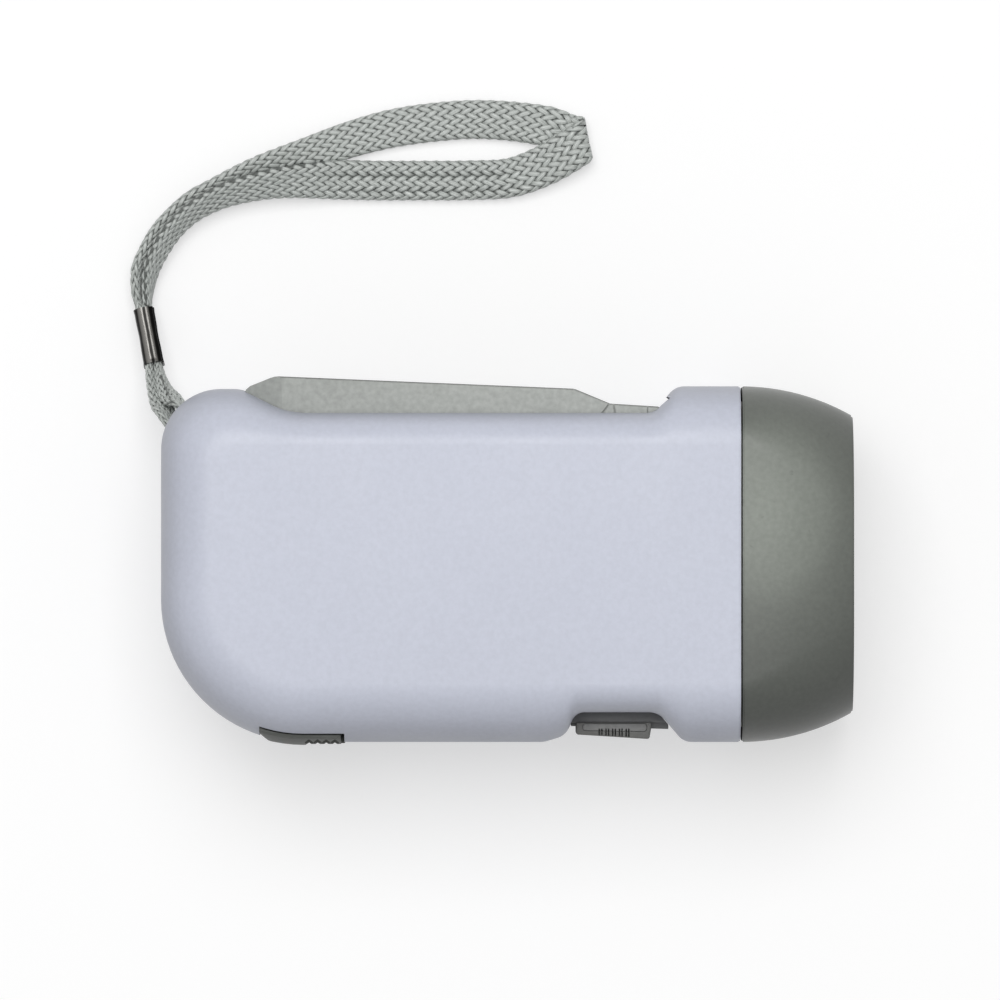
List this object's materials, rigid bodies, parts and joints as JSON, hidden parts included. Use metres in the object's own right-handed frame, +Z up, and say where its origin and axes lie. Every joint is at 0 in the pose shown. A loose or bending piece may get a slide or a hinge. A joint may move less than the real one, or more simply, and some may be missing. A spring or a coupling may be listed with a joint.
{
  "type": "hand crank flashlight",
  "caption": "Squeeze-lever dynamo flashlight: oval moulded case, tapered head with lens and lamps, slide switch, lever latch and wrist strap.",
  "frame": {"origin": "under the middle of the case's length and width, on the surface that the broad side lies on", "axes": "+X out of the lens, +Y towards the squeeze lever, +Z up from the surface"},
  "size_m": [0.11, 0.0958, 0.038],
  "materials": {
    "pale_shell": "satin moulded",
    "grey_grip": "matt moulded",
    "dark_grey": "matt moulded",
    "white_gear": "smooth",
    "steel": "brushed",
    "mirror": "metallised",
    "clear_lens": "polished clear",
    "led_resin": "clear resin",
    "board": "solder mask",
    "copper": "enamelled wire",
    "ferrite": "sintered",
    "wire": "insulated",
    "webbing": "flat braid",
    "nickel": "dark nickel"
  },
  "bodies": {
    "case": {"upper_shell": "pale_shell", "lower_shell": "pale_shell", "shell_screw_1": "steel", "shell_screw_2": "steel", "shell_screw_3": "steel", "shell_screw_4": "steel", "head_bezel": "grey_grip", "lens": "clear_lens", "reflector": "mirror", "led_1": "led_resin", "led_2": "led_resin", "led_3": "led_resin", "led_board": "board", "lever_pin": "steel", "return_spring": "steel", "drive_axle": "steel", "second_axle": "steel", "stator_core": "steel", "coil_bobbin": "white_gear", "coil_winding": "copper", "circuit_board": "board", "rectifier": "ferrite", "rechargeable_cell": "steel", "cell_tab_upper": "steel", "cell_tab_lower": "steel", "slide_switch": "steel", "switch_rail": "dark_grey", "latch_pin": "steel", "latch_spring": "steel", "coil_lead_1": "wire", "coil_lead_2": "wire", "cell_lead": "wire", "led_lead_1": "wire", "led_lead_2": "wire", "strap_ferrule": "nickel", "wrist_strap": "webbing"},
    "lever": {"squeeze_lever": "grey_grip", "drive_sector": "white_gear", "sector_rivet": "steel"},
    "drive_wheel": {"input_pinion": "white_gear", "drive_gear": "white_gear"},
    "second_wheel": {"second_gear": "white_gear"},
    "rotor": {"rotor_shaft": "steel", "rotor_pinion": "white_gear", "flywheel": "steel", "rotor_magnet": "ferrite"},
    "thumb_switch": {"switch_button": "dark_grey"},
    "catch": {"latch": "dark_grey"}
  },
  "joints": [
    {"name": "lever_hinge", "type": "hinge", "parent": "case", "child": "lever", "pos_m": [0.0245, 0.018, 0.019], "axis": [0, 0, -1], "range_deg": [0, 28]},
    {"name": "drive_wheel_spin", "type": "hinge", "parent": "case", "child": "drive_wheel", "pos_m": [-0.01509, 0.00813, 0.019], "axis": [0, 0, 1], "continuous": true},
    {"name": "second_wheel_spin", "type": "hinge", "parent": "case", "child": "second_wheel", "pos_m": [-0.02319, -0.00152, 0.019], "axis": [0, 0, 1], "continuous": true},
    {"name": "rotor_spin", "type": "hinge", "parent": "case", "child": "rotor", "pos_m": [-0.03399, -0.00546, 0.019], "axis": [0, 0, 1], "continuous": true},
    {"name": "switch_slide", "type": "slide", "parent": "case", "child": "thumb_switch", "axis": [1, 0, 0], "range_m": [0, 0.0022]},
    {"name": "latch_press", "type": "hinge", "parent": "case", "child": "catch", "pos_m": [-0.038, -0.0205, 0.019], "axis": [0, 0, 1], "range_deg": [0, 4.5], "stiffness_Nm_per_rad": 0.3, "deforming": ["latch_spring"]}
  ],
  "couplings": [
    {"joint": "drive_wheel_spin", "follows": "lever_hinge", "ratio": 7.5},
    {"joint": "second_wheel_spin", "follows": "lever_hinge", "ratio": -24},
    {"joint": "rotor_spin", "follows": "lever_hinge", "ratio": 86.4}
  ]
}
